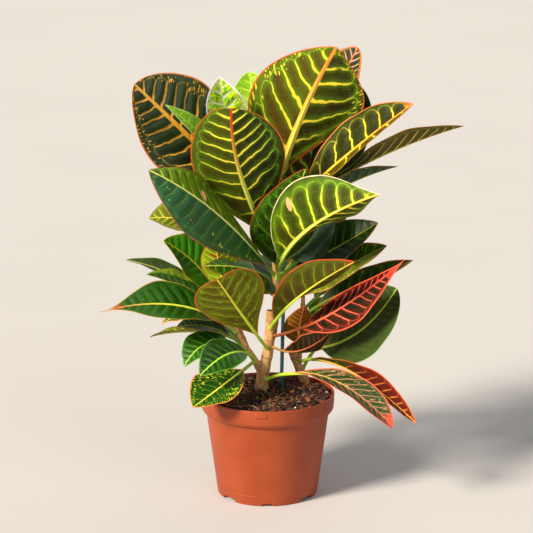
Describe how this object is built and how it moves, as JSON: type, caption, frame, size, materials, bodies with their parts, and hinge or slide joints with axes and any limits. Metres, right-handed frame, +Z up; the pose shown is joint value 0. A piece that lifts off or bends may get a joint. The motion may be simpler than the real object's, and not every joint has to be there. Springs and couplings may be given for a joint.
{
  "type": "potted croton",
  "caption": "Bushy house plant with broad variegated leaves on woody stems, rooted in soil in a tapered plastic nursery pot.",
  "frame": {"origin": "centre of the flat pad under the pot, on the surface that the pot stands on", "axes": "+Z up along the pot's axis; -Y is the front of the plant, +X its right-hand side seen from the front"},
  "size_m": [0.4507, 0.2718, 0.5726],
  "materials": {
    "pot": "terracotta-coloured plastic, fine satin",
    "soil": "moist coarse peat with bark pieces, rough",
    "cane": "dark teal-green plastic cane, satin",
    "bark": "light brown woody stem with leaf scars, rough",
    "leaf_deep_green": "leathery leaf, deep green, glossy",
    "leaf_near_black_green": "leathery leaf, near-black green, glossy",
    "leaf_dark_green": "leathery leaf, dark green, glossy",
    "leaf_olive": "leathery leaf, olive, glossy",
    "leaf_pale_olive": "leathery leaf, pale olive, glossy",
    "leaf_bright_green": "leathery leaf, bright green, glossy",
    "leaf_lime": "young leaf, lime, glossy",
    "leaf_slate": "leathery leaf, slate green, glossy",
    "leaf_coral": "leathery leaf, coral red and maroon, glossy",
    "leaf_maroon": "leathery leaf, maroon, glossy"
  },
  "bodies": {
    "root": {"pot": "pot", "soil": "soil", "cane": "cane", "main_plant_stems": "bark", "second_plant_stems": "bark", "leaf_crown_tall": "leaf_olive", "leaf_crown_front": "leaf_olive", "leaf_crown_left": "leaf_near_black_green", "leaf_crown_right": "leaf_near_black_green", "leaf_crown_young": "leaf_lime", "leaf_crown_bud": "leaf_lime", "leaf_crown_strip": "leaf_lime", "leaf_crown_behind_left": "leaf_near_black_green", "leaf_crown_behind_right": "leaf_near_black_green", "leaf_crown_dark": "leaf_near_black_green", "leaf_far_right": "leaf_olive", "leaf_right_under": "leaf_dark_green", "leaf_front_right": "leaf_olive", "leaf_front_net": "leaf_deep_green", "leaf_left_two_tone": "leaf_deep_green", "leaf_left_olive": "leaf_pale_olive", "leaf_left_patch": "leaf_pale_olive", "leaf_right_dotted": "leaf_dark_green", "leaf_right_slate": "leaf_slate", "leaf_front_edge": "leaf_deep_green", "leaf_right_rimmed": "leaf_dark_green", "leaf_right_glossy": "leaf_dark_green", "leaf_front_olive": "leaf_olive", "leaf_right_curled": "leaf_olive", "leaf_right_coral": "leaf_coral", "leaf_low_coral": "leaf_coral", "leaf_low_striped": "leaf_deep_green", "leaf_low_front": "leaf_deep_green", "leaf_left_upright": "leaf_deep_green", "leaf_left_tucked": "leaf_deep_green", "leaf_left_yellow_rib": "leaf_bright_green", "leaf_left_dark": "leaf_dark_green", "leaf_low_curl": "leaf_bright_green", "leaf_low_bright": "leaf_bright_green", "leaf_left_far": "leaf_deep_green", "leaf_left_speckled": "leaf_pale_olive", "leaf_left_thin": "leaf_pale_olive", "leaf_right_broad": "leaf_bright_green", "leaf_right_upright": "leaf_coral", "leaf_right_bright": "leaf_bright_green", "leaf_low_maroon": "leaf_maroon", "leaf_back_tall": "leaf_deep_green", "leaf_back_top_left": "leaf_pale_olive", "leaf_back_right": "leaf_deep_green", "leaf_back_left": "leaf_deep_green", "leaf_back_middle": "leaf_deep_green", "leaf_back_mid_right": "leaf_pale_olive", "leaf_back_mid_left": "leaf_deep_green", "leaf_back_low_middle": "leaf_bright_green", "leaf_back_low_right": "leaf_deep_green", "leaf_back_low_left": "leaf_deep_green", "leaf_back_floor_right": "leaf_maroon", "leaf_back_floor_left": "leaf_deep_green"}
  },
  "joints": []
}
